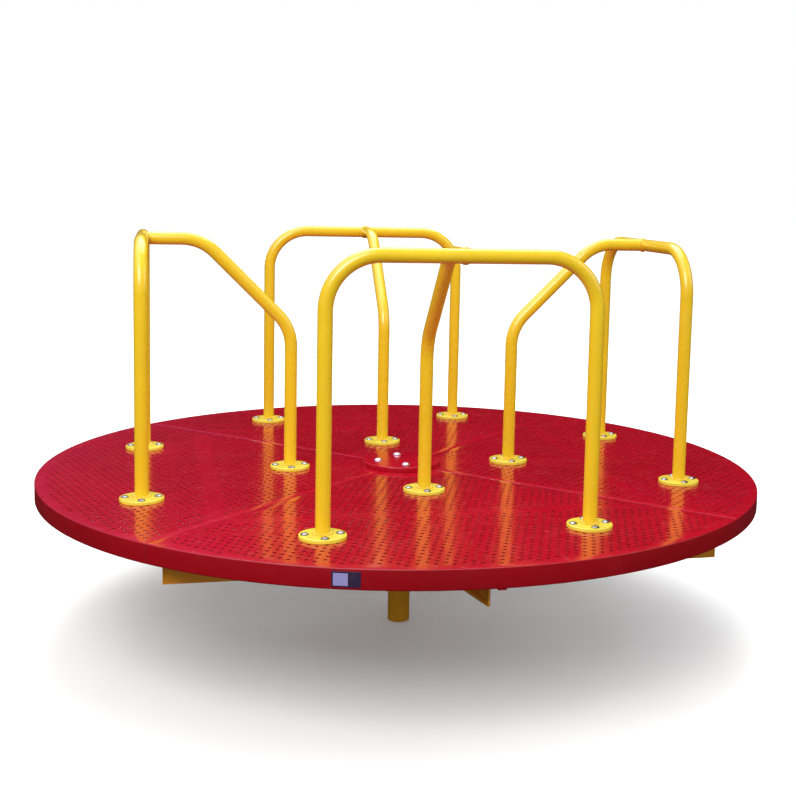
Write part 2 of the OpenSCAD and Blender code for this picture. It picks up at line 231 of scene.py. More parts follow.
def metal(name, rgb, rough=0.28, grain=180.0, stretch=(1, 1, 1), blotch=0.25,
          tint=(0.55, 0.47, 0.30), metallic=1.0):
    """Plated or machined steel: brushed grain, cloudy plating and tinted blotches."""
    s = Surface(name)
    mapping = s.node("ShaderNodeMapping")
    mapping.inputs["Scale"].default_value = stretch
    s.feed(mapping.inputs["Vector"], s.place)
    brushed = s.noise(scale=grain, detail=4, rough=0.6, at=mapping.outputs[0])
    cloud = s.noise(scale=34, detail=4, rough=0.6, distortion=0.4)
    base = s.ramp(cloud, [(0.3, opaque(rgb, 0.72)), (0.55, opaque(rgb)),
                          (0.8, opaque(rgb, 1.15))])
    spots = s.remap(s.noise(scale=55, detail=3), span=(0.5, 0.8), to=(0.0, blotch))
    s.set("Base Color", s.mix(spots, base, opaque(tint)))
    s.set("Metallic", metallic)
    dull = s.remap(brushed, span=(0.3, 0.7), to=(rough - 0.08, rough + 0.10))
    clouded = s.remap(cloud, span=(0.3, 0.8), to=(0.0, 0.08))
    s.set("Roughness", s.math("ADD", dull, by=clouded))
    s.set("Normal", s.bump(brushed, strength=0.18, distance=0.0003))
    return s.material


def rubber(name, rgb):
    s = Surface(name)
    base = s.ramp(s.noise(scale=30, detail=4), [(0.3, opaque(rgb, 0.6)),
                                                (0.75, opaque(rgb, 1.8))])
    dirt = s.remap(s.noise(scale=90, detail=3), span=(0.55, 0.8), to=(0, 0.35))
    s.set("Base Color", s.mix(dirt, base, opaque(GRIME)))
    dull = s.remap(s.noise(scale=60, detail=3), span=(0.3, 0.7), to=(0.45, 0.75))
    s.set("Roughness", dull)
    s.set("Normal", s.bump(s.noise(scale=260, detail=3), strength=0.25, distance=0.0005))
    return s.material


DECK_RED = coated("deck_red", (0.435, 0.0018, 0.014), rough=0.17, coat=0.35, shade=0.90,
                  tint=(0.45, 0.0024, 0.018), peel=0.08, wave=0.08, dust=0.003)
# The rim skirt is the deck's own sheet and paint; its darker red is painted shade of the
# upright face.
SHADED_RIM_RED = coated("rim_red_shaded", (0.29, 0.0010, 0.006), rough=0.30, coat=0.04, shade=0.88,
                 peel=0.12, wave=0.05, chips=0.25, dust=0.003, specular=0.3)
CAP_RED = coated("cap_red", (0.42, 0.0018, 0.013), rough=0.17, coat=0.15, shade=0.88,
                 peel=0.10, chips=0.3, dust=0.005, specular=0.3)
TAB_RED = coated("tab_red", (0.30, 0.003, 0.012), rough=0.3, coat=0.2, peel=0.15, chips=0.6)
RAIL_YELLOW = coated("rail_yellow", (0.82, 0.550, 0.015), rough=0.24, coat=0.45, shade=0.97,
                     tint=(0.84, 0.575, 0.017), peel=0.10, dust=0.015)
# Flanges: the rails' yellow made paler and more lemon, a painted sheen of their lit tops.
LIT_FLANGE_YELLOW = coated("flange_yellow_lit", (0.78, 0.64, 0.052), rough=0.28, coat=0.3,
                       shade=0.95, peel=0.14, dust=0.02, chips=0.2)
# Frame and post: the rails' yellow made darker and more orange, painted shade under the deck.
SHADED_FRAME_YELLOW = coated("frame_yellow", (0.72, 0.27, 0.007), rough=0.34, coat=0.2, shade=0.82,
                      peel=0.18, dust=0.10, chips=0.6)
SHADED_POST_YELLOW = coated("post_yellow_shaded", (0.76, 0.34, 0.011), rough=0.32, coat=0.3, shade=0.84,
                     peel=0.16, dust=0.09, chips=0.4)
WELD_YELLOW = coated("weld_yellow", (0.80, 0.50, 0.012), rough=0.28, coat=0.35, shade=0.90,
                     peel=0.25, dust=0.02)
ZINC = metal("zinc_bolts", (0.30, 0.30, 0.28), rough=0.26, blotch=0.14)
BRIGHT_ZINC = metal("bright_zinc_bolts", (0.72, 0.72, 0.73), rough=0.30, blotch=0.06,
                    metallic=0.9)
# Darker red for hole walls and the skirt's seam ends: painted shade inside the holes and in the
# gaps between panels, with a little dust.
SHADED_HOLE_RED = coated("hole_red_painted_shade", (0.30, 0.0016, 0.008), rough=0.5, coat=0.0, shade=0.7,
                  peel=0.1, dust=0.03)
NUT_ZINC = metal("zinc_nuts", (0.62, 0.62, 0.62), rough=0.34, blotch=0.35)
BARE_STEEL = metal("bare_steel", (0.50, 0.49, 0.48), rough=0.36, grain=90,
                   stretch=(1, 1, 9), blotch=0.35, tint=(0.30, 0.20, 0.12))
BEARING_STEEL = metal("bearing_steel", (0.68, 0.68, 0.70), rough=0.14, grain=120,
                      stretch=(1, 1, 14), blotch=0.12)
SEAL_RUBBER = rubber("seal_rubber", (0.018, 0.018, 0.02))
PLATE_LIGHT = coated("blank_plate_light", (0.30, 0.27, 0.56), rough=0.30, coat=0.2,
                     shade=0.88, peel=0.05, dust=0.12)
PLATE_DARK = coated("blank_plate_dark", (0.030, 0.016, 0.050), rough=0.30, coat=0.2,
                    shade=0.8, peel=0.05, dust=0.12)


# ---------------------------------------------------------------- mesh helpers
# A part is a (vertices, faces) pair.
def put(name, part, materials, replaces=None, face_materials=(), body="platform",
        sharp=40):
    """Make an object; edges that turn by more than `sharp` degrees stay crisp."""
    verts, faces = part
    mesh = bpy.data.meshes.new(name)
    mesh.from_pydata([tuple(v) for v in verts], [], faces)
    bm = bmesh.new()
    bm.from_mesh(mesh)
    bm.faces.ensure_lookup_table()
    for i, index in enumerate(face_materials):
        bm.faces[i].material_index = index
    bmesh.ops.remove_doubles(bm, verts=bm.verts, dist=1e-6)
    bmesh.ops.recalc_face_normals(bm, faces=bm.faces)
    for face in bm.faces:
        face.smooth = True
    for edge in bm.edges:
        if len(edge.link_faces) == 2:
            edge.smooth = edge.calc_face_angle(0.0) < radians(sharp)
    bm.to_mesh(mesh)
    bm.free()
    obj = bpy.data.objects.new(name, mesh)
    scene.collection.objects.link(obj)
    for material in materials:
        mesh.materials.append(material)
    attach(obj, body)
    if replaces:
        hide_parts(replaces)


def turn(part, degrees):
    """Turn a part about the Z axis."""
    verts, faces = part
    c, s = cos(radians(degrees)), sin(radians(degrees))
    return [(c * x - s * y, s * x + c * y, z) for x, y, z in verts], faces


def shift(part, dx, dy, dz=0.0):
    verts, faces = part
    return [(x + dx, y + dy, z + dz) for x, y, z in verts], faces


def join(parts):
    all_verts, all_faces = [], []
    for verts, faces in parts:
        start = len(all_verts)
        all_verts += verts
        all_faces += [tuple(i + start for i in face) for face in faces]
    return all_verts, all_faces


class Builder:
    """Collects vertices, and faces with their material indices."""

    def __init__(self):
        self.verts, self.faces, self.materials = [], [], []

    def point(self, x, y, z):
        self.verts.append((x, y, z))
        return len(self.verts) - 1

    def face(self, corners, material):
        self.faces.append(tuple(corners))
        self.materials.append(material)


def arc(cx, cy, r, start, end, steps):
    """Points in a plane along an arc; angles in degrees."""
    angles = [radians(start + (end - start) * i / steps) for i in range(steps + 1)]
    return [(cx + r * cos(a), cy + r * sin(a)) for a in angles]


def lathe(profile, segments):
    """Revolve a closed profile of (r, z) about Z; points on the axis make triangles."""
    size = len(profile)
    verts, faces = [], []
    for i in range(segments):
        a = tau * i / segments
        verts += [(r * cos(a), r * sin(a), z) for r, z in profile]
    for i in range(segments):
        here, there = i * size, (i + 1) % segments * size
        for k in range(size):
            nxt = (k + 1) % size
            on_axis, next_on_axis = profile[k][0] < 1e-9, profile[nxt][0] < 1e-9
            if on_axis and next_on_axis:
                continue
            if on_axis:
                faces.append((here + k, there + nxt, here + nxt))
            elif next_on_axis:
                faces.append((here + k, there + k, here + nxt))
            else:
                faces.append((here + k, there + k, there + nxt, here + nxt))
    return verts, faces


def skin(rings, size, closed=False):
    """Faces over a row of rings of `size` points; an open row is capped at both ends."""
    faces = []
    for i in range(rings if closed else rings - 1):
        here, there = i * size, (i + 1) % rings * size
        for k in range(size):
            nxt = (k + 1) % size
            faces.append((here + k, here + nxt, there + nxt, there + k))
    if not closed:
        faces.append(tuple(range(size - 1, -1, -1)))
        faces.append(tuple((rings - 1) * size + k for k in range(size)))
    return faces


def ring_points(centre, u, v, r, n):
    angles = [tau * k / n for k in range(n)]
    return [tuple(centre + u * (cos(a) * r) + v * (sin(a) * r)) for a in angles]


def sweep(path, radius, n=48):
    """Capped round tube along a path, without twist."""
    points = [Vector(p) for p in path]
    steps = [(b - a).normalized() for a, b in zip(points, points[1:])]
    ref = Vector((1, 0, 0)) if abs(steps[0].x) < 0.9 else Vector((0, 1, 0))
    normal = (ref - steps[0] * ref.dot(steps[0])).normalized()
    verts = []
    for i, point in enumerate(points):
        if i == 0:
            along = steps[0]
        elif i == len(points) - 1:
            along = steps[-1]
        else:
            along = (steps[i] + steps[i - 1]).normalized()
        normal = (normal - along * normal.dot(along)).normalized()
        verts += ring_points(point, normal, along.cross(normal), radius, n)
    return verts, skin(len(points), n)


def loop_bead(path, radius, n, ripple, waves):
    """Closed bead along a closed loop, its size rippling like a weld."""
    points = [Vector(p) for p in path]
    count = len(points)
    verts = []
    for i, point in enumerate(points):
        along = (points[(i + 1) % count] - points[i - 1]).normalized()
        across = along.cross(Vector((0, 0, 1)))
        if across.length < 1e-4:
            across = along.cross(Vector((1, 0, 0)))
        across.normalize()
        r = radius * (1 + ripple * sin(tau * waves * i / count))
        verts += ring_points(point, across, across.cross(along).normalized(), r, n)
    return verts, skin(count, n, closed=True)


# ---------------------------------------------------------------- perforated deck panels
# Panels are drawn as the quadrant with seams along +X and +Y, then turned to the front.
TO_QUADRANT = 135
HOLE_R = 0.0060
ROW = 0.0274
PITCH = 0.0266                  # along a row; every other row is offset by half of it
FIRST_HOLE = 0.038
HOLES_FROM_R = 0.190
RIM_MARGIN = 0.036              # hole-free band inside the rim
STRIP_AT = 0.547 * DECK_R       # hole-free strip square to the panel's middle line
STRIP_HALF = 0.0285
FLANGE_CLEAR_R = 0.063
FLANGE_BOLT_HOLE_R = 0.0055
CAP_BOLT_HOLE_R = 0.0065
SEAM = 0.00075                  # half the gap between panels
SEAM_FLAT = 0.0026              # seam line to where the flat sheet ends
FOLD_R = 0.003                  # rolled top edge of the rim
FLAT_R = DECK_R - FOLD_R
PANEL_INNER_R = 0.062
LIP_R = 0.004                   # bottom bend of the skirt
LIP_DEPTH = 0.018
CORNER_INSET = 0.0012           # the skirt steps in beside each seam
TUCK = 0.0002                   # overlap at the sheet's underside
STRIP_FROM, STRIP_TO, STRIP_DEPTH = 0.215, 1.065, 0.034     # folded strip under a seam
# shares of the panel's sweep; the end steps are narrow, and on the skirt they carry painted
# shade at the seams
RIM_SHARES = [0.0, 0.0007] + [i / 150 for i in range(1, 150)] + [1 - 0.0007, 1.0]
RIM_STEPS = len(RIM_SHARES) - 1
INNER_STEPS = 14
TOP, RIM, PAINTED_SHADE = 0, 1, 2         # material indices: deck top, rim skirt in its darker painted-shade red, and painted shade on cut walls and seam ends


def panel_circles():
    """Openings of one panel: x, y, radius, segments."""
    c, s = cos(radians(TO_QUADRANT)), sin(radians(TO_QUADRANT))

    def to_quadrant(x, y):
        return (c * x - s * y, s * x + c * y)

    flanges = [to_quadrant(x, y) for _, x, y in FLANGES]
    circles = []
    for cx, cy in flanges:
        for k in range(4):
            a = radians(TO_QUADRANT + 90 * k)
            circles.append((cx + BOLT_CIRCLE_R * cos(a), cy + BOLT_CIRCLE_R * sin(a),
                            FLANGE_BOLT_HOLE_R, 16))
    circles.append((*to_quadrant(0, -CAP_BOLT_CIRCLE_R), CAP_BOLT_HOLE_R, 16))

    row = 0
    x = FIRST_HOLE
    while x < DECK_R:
        y = FIRST_HOLE + (0.5 * PITCH if row % 2 else 0.0)
        while y < DECK_R:
            if (HOLES_FROM_R < hypot(x, y) < DECK_R - RIM_MARGIN
                    and abs((x + y) / sqrt(2) - STRIP_AT) > STRIP_HALF
                    and all(hypot(x - cx, y - cy) > FLANGE_CLEAR_R for cx, cy in flanges)):
                circles.append((x, y, HOLE_R, 12))
            y += PITCH
        x += ROW
        row += 1
    return circles


def panel_outline():
    """Rim arc from +X to +Y, then the inner arc back."""
    start = asin(SEAM_FLAT / FLAT_R)
    angles = [start + (pi / 2 - 2 * start) * share for share in RIM_SHARES]
    outline = [(FLAT_R * cos(a), FLAT_R * sin(a)) for a in angles]
    start = asin(SEAM_FLAT / PANEL_INNER_R)
    angles = [pi / 2 - start - (pi / 2 - 2 * start) * i / INNER_STEPS
              for i in range(INNER_STEPS + 1)]
    return outline + [(PANEL_INNER_R * cos(a), PANEL_INNER_R * sin(a)) for a in angles]


def add_flat_sheet(panel):
    """Top and bottom sheets with hole walls; returns the top vertices along the rim."""
    loops = [panel_outline()]
    for cx, cy, r, n in panel_circles():
        angles = [tau * (i + 0.5) / n for i in range(n)]
        loops.append([(cx + r * cos(a), cy + r * sin(a)) for a in angles])
    points, edges, owner = [], [], []
    for tag, loop in enumerate(loops):
        start, n = len(points), len(loop)
        points += [Vector(p) for p in loop]
        owner += [tag] * n
        edges += [(start + i, start + (i + 1) % n) for i in range(n)]

    result = delaunay_2d_cdt(points, edges, [], 0, 1e-7)
    flat, triangles, origins = result[0], result[2], result[3]
    source = [origin[0] if origin else -1 for origin in origins]
    tags = [owner[s] if s >= 0 else -1 for s in source]
    where = {s: i for i, s in enumerate(source) if s >= 0}
    inner_start = RIM_STEPS + 1
    inner_arc = range(inner_start, inner_start + INNER_STEPS + 1)

    below = len(flat)
    for z in (DECK_TOP, SHEET_BOTTOM):
        for v in flat:
            panel.point(v.x, v.y, z)
    for a, b, c in triangles:
        if tags[a] > 0 and tags[a] == tags[b] == tags[c]:
            continue            # fills a hole
        if all(source[i] in inner_arc for i in (a, b, c)):
            continue            # lies inside the inner arc
        if (flat[b] - flat[a]).cross(flat[c] - flat[a]) < 0:
            b, c = c, b
        panel.face((a, b, c), TOP)
        panel.face((c + below, b + below, a + below), TOP)

    # Hole walls and inner-arc walls get the darker red, painted shade.
    def wall(first, second):
        a, b = where[first], where[second]
        panel.face((a, b, b + below, a + below), PAINTED_SHADE)

    start = len(loops[0])
    for loop in loops[1:]:
        n = len(loop)
        for i in range(n):
            wall(start + i, start + (i + 1) % n)
        start += n
    for i in range(INNER_STEPS):
        wall(inner_start + i, inner_start + i + 1)
    return [where[i] for i in range(RIM_STEPS + 1)]


def add_rim(panel, top_row):
    """Skirt: over the rolled edge, down, in at the lip and back up the inside."""
    profile = arc(DECK_R - FOLD_R, DECK_TOP - FOLD_R, FOLD_R, 90, 0, 5)[1:]
    profile += arc(DECK_R - LIP_R, DECK_BASE + LIP_R, LIP_R, 0, -90, 4)
    profile += [
        (DECK_R - LIP_DEPTH, DECK_BASE),
        (DECK_R - LIP_DEPTH, DECK_BASE + SHEET),
        (DECK_R - SHEET, DECK_BASE + SHEET),
        (DECK_R - SHEET, SHEET_BOTTOM - 0.001),
        (DECK_R - FOLD_R, SHEET_BOTTOM),
    ]
    ends = (0, RIM_STEPS)
    rows = [top_row]
    for r, z in profile:
        start = asin((SEAM_FLAT if (r, z) == profile[-1] else SEAM) / r)
        row = []
        for i, share in enumerate(RIM_SHARES):
            a = start + (pi / 2 - 2 * start) * share
            inset = CORNER_INSET if i in ends and r > DECK_R - 0.0022 else 0
            row.append(panel.point((r - inset) * cos(a), (r - inset) * sin(a), z))
        rows.append(row)
    for j, (a, b) in enumerate(zip(rows, rows[1:])):
        for i in range(RIM_STEPS):
            # The narrow strips beside each seam get the darker red, painted shade of the gap
            # between panels.
            at_seam = i in (0, RIM_STEPS - 1) and j > 0
            panel.face((a[i], b[i], b[i + 1], a[i + 1]), PAINTED_SHADE if at_seam else RIM)
    return rows


def add_seam(panel, rows, along_y):
    """Sheet edge rolled over and turned down at one seam."""
    roll = SEAM_FLAT - SEAM
    edge = [(SEAM_FLAT, DECK_TOP)] + arc(SEAM_FLAT, DECK_TOP - roll, roll, 90, 180, 3)[1:]
    edge += [(SEAM, SHEET_BOTTOM + TUCK), (SEAM_FLAT, SHEET_BOTTOM)]
    ends = []
    for r in (PANEL_INNER_R, FLAT_R):
        along = sqrt(r * r - SEAM_FLAT * SEAM_FLAT)
        ends.append([panel.point(off, along, z) if along_y else panel.point(along, off, z)
                     for off, z in edge])
    inner, outer = ends
    for i in range(len(edge) - 1):
        panel.face((inner[i], inner[i + 1], outer[i + 1], outer[i]), TOP)
    panel.face(inner, TOP)
    skirt_end = [row[RIM_STEPS if along_y else 0] for row in rows[1:-1]]
    panel.face([outer[0]] + skirt_end + outer[:0:-1], TOP)


def add_seam_strip(panel, along_y):
    """Folded strip standing down under one seam edge."""
    b = []
    for z in (SHEET_BOTTOM - STRIP_DEPTH, SHEET_BOTTOM + TUCK):
        for along, off in ((STRIP_FROM, SEAM), (STRIP_TO, SEAM),
                           (STRIP_TO, SEAM + SHEET), (STRIP_FROM, SEAM + SHEET)):
            b.append(panel.point(off, along, z) if along_y else panel.point(along, off, z))
    for corners in ((0, 1, 2, 3), (4, 5, 6, 7), (0, 1, 5, 4), (1, 2, 6, 5), (2, 3, 7, 6),
                    (3, 0, 4, 7)):
        panel.face([b[i] for i in corners], TOP)


def build_panels():
    panel = Builder()
    rows = add_rim(panel, add_flat_sheet(panel))
    for along_y in (False, True):
        add_seam(panel, rows, along_y)
    for along_y in (False, True):
        add_seam_strip(panel, along_y)
    front = turn((panel.verts, panel.faces), -TO_QUADRANT)
    for side, degrees in SIDES:
        put("deck_panel_" + side, turn(front, degrees), [DECK_RED, SHADED_RIM_RED, SHADED_HOLE_RED],
            "panel_" + side, face_materials=panel.materials, sharp=28)


build_panels()

# ---------------------------------------------------------------- handrails
BEND_R = 0.152                  # centreline radius of every bend
BRACE_RUN = 0.298               # height and depth of the brace's 45 degree slope
SINK = 0.0005                   # tubes and welds reach this far into the flange


def between(start, end, steps):
    """Points inside a straight line, without its ends."""
    return [tuple(Vector(start).lerp(Vector(end), i / steps)) for i in range(1, steps)]


def rail_part():
    """Hoop in the plane y = -LEG_Y, from the left leg over to the right; path in x, z."""
    bend_x, bend_z = LEG_X - BEND_R, RAIL_Z - BEND_R
    path = [(-LEG_X, FLANGE_TOP - SINK)]
    path += between((-LEG_X, FLANGE_TOP), (-LEG_X, bend_z), 6)
    path += arc(-bend_x, bend_z, BEND_R, 180, 90, 22)
    path += between((-bend_x, RAIL_Z), (bend_x, RAIL_Z), 6)
    path += arc(bend_x, bend_z, BEND_R, 90, 0, 22)
    path += between((LEG_X, bend_z), (LEG_X, FLANGE_TOP), 6)
    path.append((LEG_X, FLANGE_TOP - SINK))
    return sweep([(x, -LEG_Y, z) for x, z in path], TUBE_R)


def brace_part():
    """Inner leg in the plane x = 0: up, 45 degrees outward, level to the rail; path in y, z."""
    tangent = BEND_R * tan(radians(22.5))
    low_z = RAIL_Z - BRACE_RUN - tangent
    high_y, high_z = -INNER_Y - BRACE_RUN - tangent, RAIL_Z - BEND_R
    path = [(-INNER_Y, FLANGE_TOP - SINK)]
    path += between((-INNER_Y, FLANGE_TOP), (-INNER_Y, low_z), 5)
    path += arc(-INNER_Y - BEND_R, low_z, BEND_R, 0, 45, 14)
    high_bend = arc(high_y, high_z, BEND_R, 45, 90, 14)
    path += between(path[-1], high_bend[0], 5) + high_bend
    path += [(high_y - 0.04, RAIL_Z), (-LEG_Y + 0.004, RAIL_Z)]
    return sweep([(0.0, y, z) for y, z in path], TUBE_R * 0.998)


def leg_weld(cx, cy, phase):
    """Rippled fillet bead round a leg where it stands on its flange."""
    segments, steps = 96, 6
    inside = TUBE_R - 0.001
    z = FLANGE_TOP
    verts, faces = [], []
    for i in range(segments):
        a = tau * i / segments
        swell = 1 + 0.16 * sin(tau * 26 * i / segments + phase) + 0.06 * sin(7 * a + phase)
        width, height = 0.0062 * swell, 0.0058 * swell
        section = []
        for j in range(steps + 1):
            t = j / steps * pi / 2
            section.append((TUBE_R + width * cos(t) ** 0.8, z + height * sin(t) ** 0.8))
        section += [(inside, z + height), (inside, z - SINK), (TUBE_R + width, z - SINK)]
        verts += [(cx + r * cos(a), cy + r * sin(a), level) for r, level in section]
    size = steps + 4
    for i in range(segments):
        here, there = i * size, (i + 1) % segments * size
        for k in range(size):
            nxt = (k + 1) % size
            faces.append((here + k, there + k, there + nxt, here + nxt))
    return verts, faces


def saddle_weld():
    """Bead where the brace runs into the side of the top rail."""
    r = TUBE_R + 0.0010
    points = []
    for i in range(160):
        a = tau * i / 160
        off = max(abs(r * cos(a)), 0.0045) + 0.0006
        points.append((r * cos(a), -LEG_Y + off, RAIL_Z + r * sin(a)))
    return loop_bead(points, radius=0.0030, n=10, ripple=0.14, waves=36)


def flange_part():
    low, top = 0.0008, 0.0030   # edge chamfer below, rounding above
    profile = [(0.0, 0.0), (FLANGE_R - low, 0.0), (FLANGE_R, low)]
    profile += arc(FLANGE_R - top, FLANGE_T - top, top, 0, 90, 5) + [(0.0, FLANGE_T)]
    return lathe(profile, 96)


def build_handrails():
    rail, brace = rail_part(), brace_part()
    welds = [leg_weld(x, y, phase) for (_, x, y), phase in zip(FLANGES, (0.3, 1.3, 2.1))]
    welds = join(welds + [saddle_weld()])
    for side, degrees in SIDES:
        put("handrail_" + side, turn(rail, degrees), [RAIL_YELLOW],
            "rail_" + side)
        put("handrail_brace_" + side, turn(brace, degrees), [RAIL_YELLOW],
            "brace_" + side)
        put("handrail_welds_" + side, turn(welds, degrees), [WELD_YELLOW],
            sharp=60)
    flange = flange_part()
    for side, degrees in SIDES:
        for tag, x, y in FLANGES:
            put(f"floor_flange_{side}_{tag}", turn(shift(flange, x, y, DECK_TOP), degrees),
                [LIT_FLANGE_YELLOW], f"flange_{side}_{tag}")


build_handrails()


# ---------------------------------------------------------------- fasteners
def shank(r, bottom, top):
    return lathe([(0.0, bottom), (r - 0.001, bottom), (r, bottom + 0.001), (r, top),
                  (0.0, top)], 20)


def nut(flats, bottom, top, phase=0.0):
    """Hexagon of the given width across flats, chamfered at its lower corners."""
    height, chamfer, n = top - bottom, 0.001, 48
    # depth below the top, share of the corner cut
    rings = [(0, 0.0), (0.0002, 0.0), (height - chamfer, 0.0),
             (height - chamfer * 0.35, 0.45), (height, 1.0)]
    verts = []
    for depth, cut in rings:
        corner_r = flats / 2 * (1.155 - 0.20 * cut)
        for i in range(n):
            a = tau * i / n
            r = min((flats / 2) / cos((a + phase) % (pi / 3) - pi / 6), corner_r)
            verts.append((r * cos(a), r * sin(a), top - depth))
    return verts, [tuple(reversed(face)) for face in skin(len(rings), n)]


def cup_head(r, height, z, segments, steps=9):
    """Round head: short lip with a chamfered lower edge, then a shallow dome."""
    lip, chamfer = 0.0018, 0.0006
    # the dome's sphere passes through the lip's rim and the crown
    centre = (height * height - lip * lip - r * r) / (2 * (height - lip))
    sphere_r = height - centre
    reach = asin(r / sphere_r)
    profile = [(0.0, z), (r - chamfer, z), (r, z + chamfer)]
    for i in range(steps):
        a = reach * (1 - i / steps)
        profile.append((sphere_r * sin(a), z + centre + sphere_r * cos(a)))
    return lathe(profile + [(0.0, z + height)], segments)


def at_flanges(part, vary):
    """Copies at every flange bolt, each turned differently if `vary` is set."""
    copies = []
    for side in range(4):
        for x, y in ((LEG_X, -LEG_Y), (-LEG_X, -LEG_Y), (0.0, -INNER_Y)):
            for k in range(4):
                a = radians(90 * k)
                twist = (k * 37 + side * 23 + int(x * 100)) % 60 if vary else 0
                copy = shift(turn(part, twist), x + BOLT_CIRCLE_R * cos(a),
                             y + BOLT_CIRCLE_R * sin(a))
                copies.append(turn(copy, 90 * side))
    return join(copies)


flange_bolt = join([
    cup_head(r=0.0120, height=0.0062, z=FLANGE_TOP, segments=48),
    shank(r=0.0050, bottom=SHEET_BOTTOM - 0.021, top=FLANGE_TOP + 0.001),
])
put("flange_bolt_set", at_flanges(flange_bolt, vary=True), [ZINC],
    "flange_bolts", sharp=30)
flange_nut = nut(flats=0.0166, bottom=SHEET_BOTTOM - 0.016, top=SHEET_BOTTOM - 0.008,
                 phase=pi / 6)
put("flange_nut_set", at_flanges(flange_nut, vary=False), [NUT_ZINC],
    "flange_nuts", sharp=30)

cap_bolt = join([
    cup_head(r=0.01425, height=0.0080, z=CAP_TOP, segments=56),
    shank(r=0.0060, bottom=SHEET_BOTTOM - 0.024, top=CAP_TOP + 0.001),
    nut(flats=0.0190, bottom=SHEET_BOTTOM - 0.020, top=SHEET_BOTTOM - 0.010),
])
cap_bolt = shift(cap_bolt, CAP_BOLT_CIRCLE_R, 0)
put("hub_cap_bolt_set", join([turn(cap_bolt, degrees) for _, degrees in SIDES]),
    [BRIGHT_ZINC], "hub_cap_bolts", sharp=30)


# ---------------------------------------------------------------- hub cap
def cap_part():
    """Round cover with a turned-down edge and a ring underneath resting on the deck."""
    ring_inner, ring_outer = 0.062, 0.112
    under = CAP_TOP - 0.005
    wall, chamfer, rounding = 0.004, 0.0006, 0.0028
    profile = [
        (ring_inner, DECK_TOP),
        (ring_outer - 0.001, DECK_TOP),
        (ring_outer, DECK_TOP + 0.001),
        (ring_outer, under),
        (CAP_R - wall, under),
        (CAP_R - wall, DECK_TOP + chamfer),
        (CAP_R - wall + chamfer, DECK_TOP),
        (CAP_R - chamfer, DECK_TOP),
        (CAP_R, DECK_TOP + chamfer),
    ]
    profile += arc(CAP_R - rounding, CAP_TOP - rounding, rounding, 0, 90, 6)
    profile += [(0.0, CAP_TOP), (0.0, under), (ring_inner, under)]
    return lathe(profile, 160)


put("hub_cap_cover", cap_part(), [CAP_RED], "hub_cap")


# ---------------------------------------------------------------- blank plate on the rim
def build_plate():
    """Curved plate: a light field on the left in a dark border, a dark field beside it."""
    start, end, divide = -109.2, -105.6, -107.2     # degrees about Z from +X
    edge_angle, edge_z, border = 0.02, 0.0006, 0.0045
    raised, edge_out, back_in = 0.0012, 0.0002, 0.0002      # from the rim's radius
    light, dark = 0, 1
    plate_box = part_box("data_plate")
    low, high = plate_box[0].z, plate_box[1].z

    angles = [start, start + edge_angle]
    angles += [start + (end - start) * i / 16 for i in range(1, 16)]
    angles += [end - edge_angle, end]
    levels = [low, low + edge_z, low + border, high - border, high - edge_z, high]
    last_col, last_row = len(angles) - 1, len(levels) - 1

    plate = Builder()

    def layer(radius):
        return [[plate.point(radius(i, j) * cos(radians(a)), radius(i, j) * sin(radians(a)), z)
                 for j, z in enumerate(levels)] for i, a in enumerate(angles)]

    def front_radius(i, j):
        inside = 0 < i < last_col and 0 < j < last_row
        return DECK_R + (raised if inside else edge_out)

    front = layer(front_radius)
    back = layer(lambda i, j: DECK_R - back_in)
    for i in range(last_col):
        middle = (angles[i] + angles[i + 1]) / 2
        for j in range(last_row):
            is_dark = middle > divide or j != 2 or i < 2
            plate.face((front[i][j], front[i + 1][j], front[i + 1][j + 1], front[i][j + 1]),
                       dark if is_dark else light)
            plate.face((back[i][j], back[i][j + 1], back[i + 1][j + 1], back[i + 1][j]), dark)
    for i in range(last_col):
        for j in (0, last_row):
            plate.face((front[i][j], back[i][j], back[i + 1][j], front[i + 1][j]), dark)
    for j in range(last_row):
        for i in (0, last_col):
            plate.face((front[i][j], front[i][j + 1], back[i][j + 1], back[i][j]), dark)
    put("blank_plate", (plate.verts, plate.faces), [PLATE_LIGHT, PLATE_DARK],
        "data_plate", face_materials=plate.materials, sharp=30)


build_plate()


# ---------------------------------------------------------------- centre post
def post_part():
    """Open pipe with eased ends."""
    bore, ease, foot_ease = POST_R - 0.0055, 0.0012, 0.0018
    return lathe([
        (bore, ease), (bore + ease, 0.0), (POST_R - foot_ease, 0.0), (POST_R, foot_ease),
        (POST_R, POST_TOP - ease), (POST_R - ease, POST_TOP), (bore, POST_TOP),
    ], 96)


put("centre_post", post_part(), [SHADED_POST_YELLOW], "main_post", body="base")


# ---------------------------------------------------------------- CAD pieces that stay
def finish_cad(node, material, bevel_width=0):
    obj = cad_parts[node]
    obj.data.materials.clear()
    obj.data.materials.append(material)
    if bevel_width > 0:
        weld = obj.modifiers.new("weld", "WELD")
        weld.merge_threshold = 1e-5
        bevel = obj.modifiers.new("bevel", "BEVEL")
        bevel.width = bevel_width
        bevel.segments = 2
        bevel.limit_method = "ANGLE"
        bevel.angle_limit = radians(35)
        bevel.harden_normals = True


for node in ("arm_front", "arm_right", "arm_back", "arm_left",
             "chord_front_left", "chord_front_right", "chord_back_left", "chord_back_right",
             "chord_left_front", "chord_left_back", "chord_right_front",
             "chord_right_back"):
    finish_cad(node, SHADED_FRAME_YELLOW, bevel_width=0.0016)

for material, nodes in (
    (SHADED_FRAME_YELLOW, ("hub_barrel", "hub_plate", "flange_backing")),
    (BARE_STEEL, ("spindle",)),
    (BEARING_STEEL, ("lower_cone", "upper_cone", "lower_cup", "upper_cup",
                     "lower_rollers", "upper_rollers")),
    (ZINC, ("spindle_washer", "castle_nut", "cotter_pin", "dust_cap")),
    (SEAL_RUBBER, ("grease_seal",)),
    (NUT_ZINC, ("seam_bolts",)),
    (TAB_RED, ("rim_tabs",)),
):
    for node in nodes:
        finish_cad(node, material)


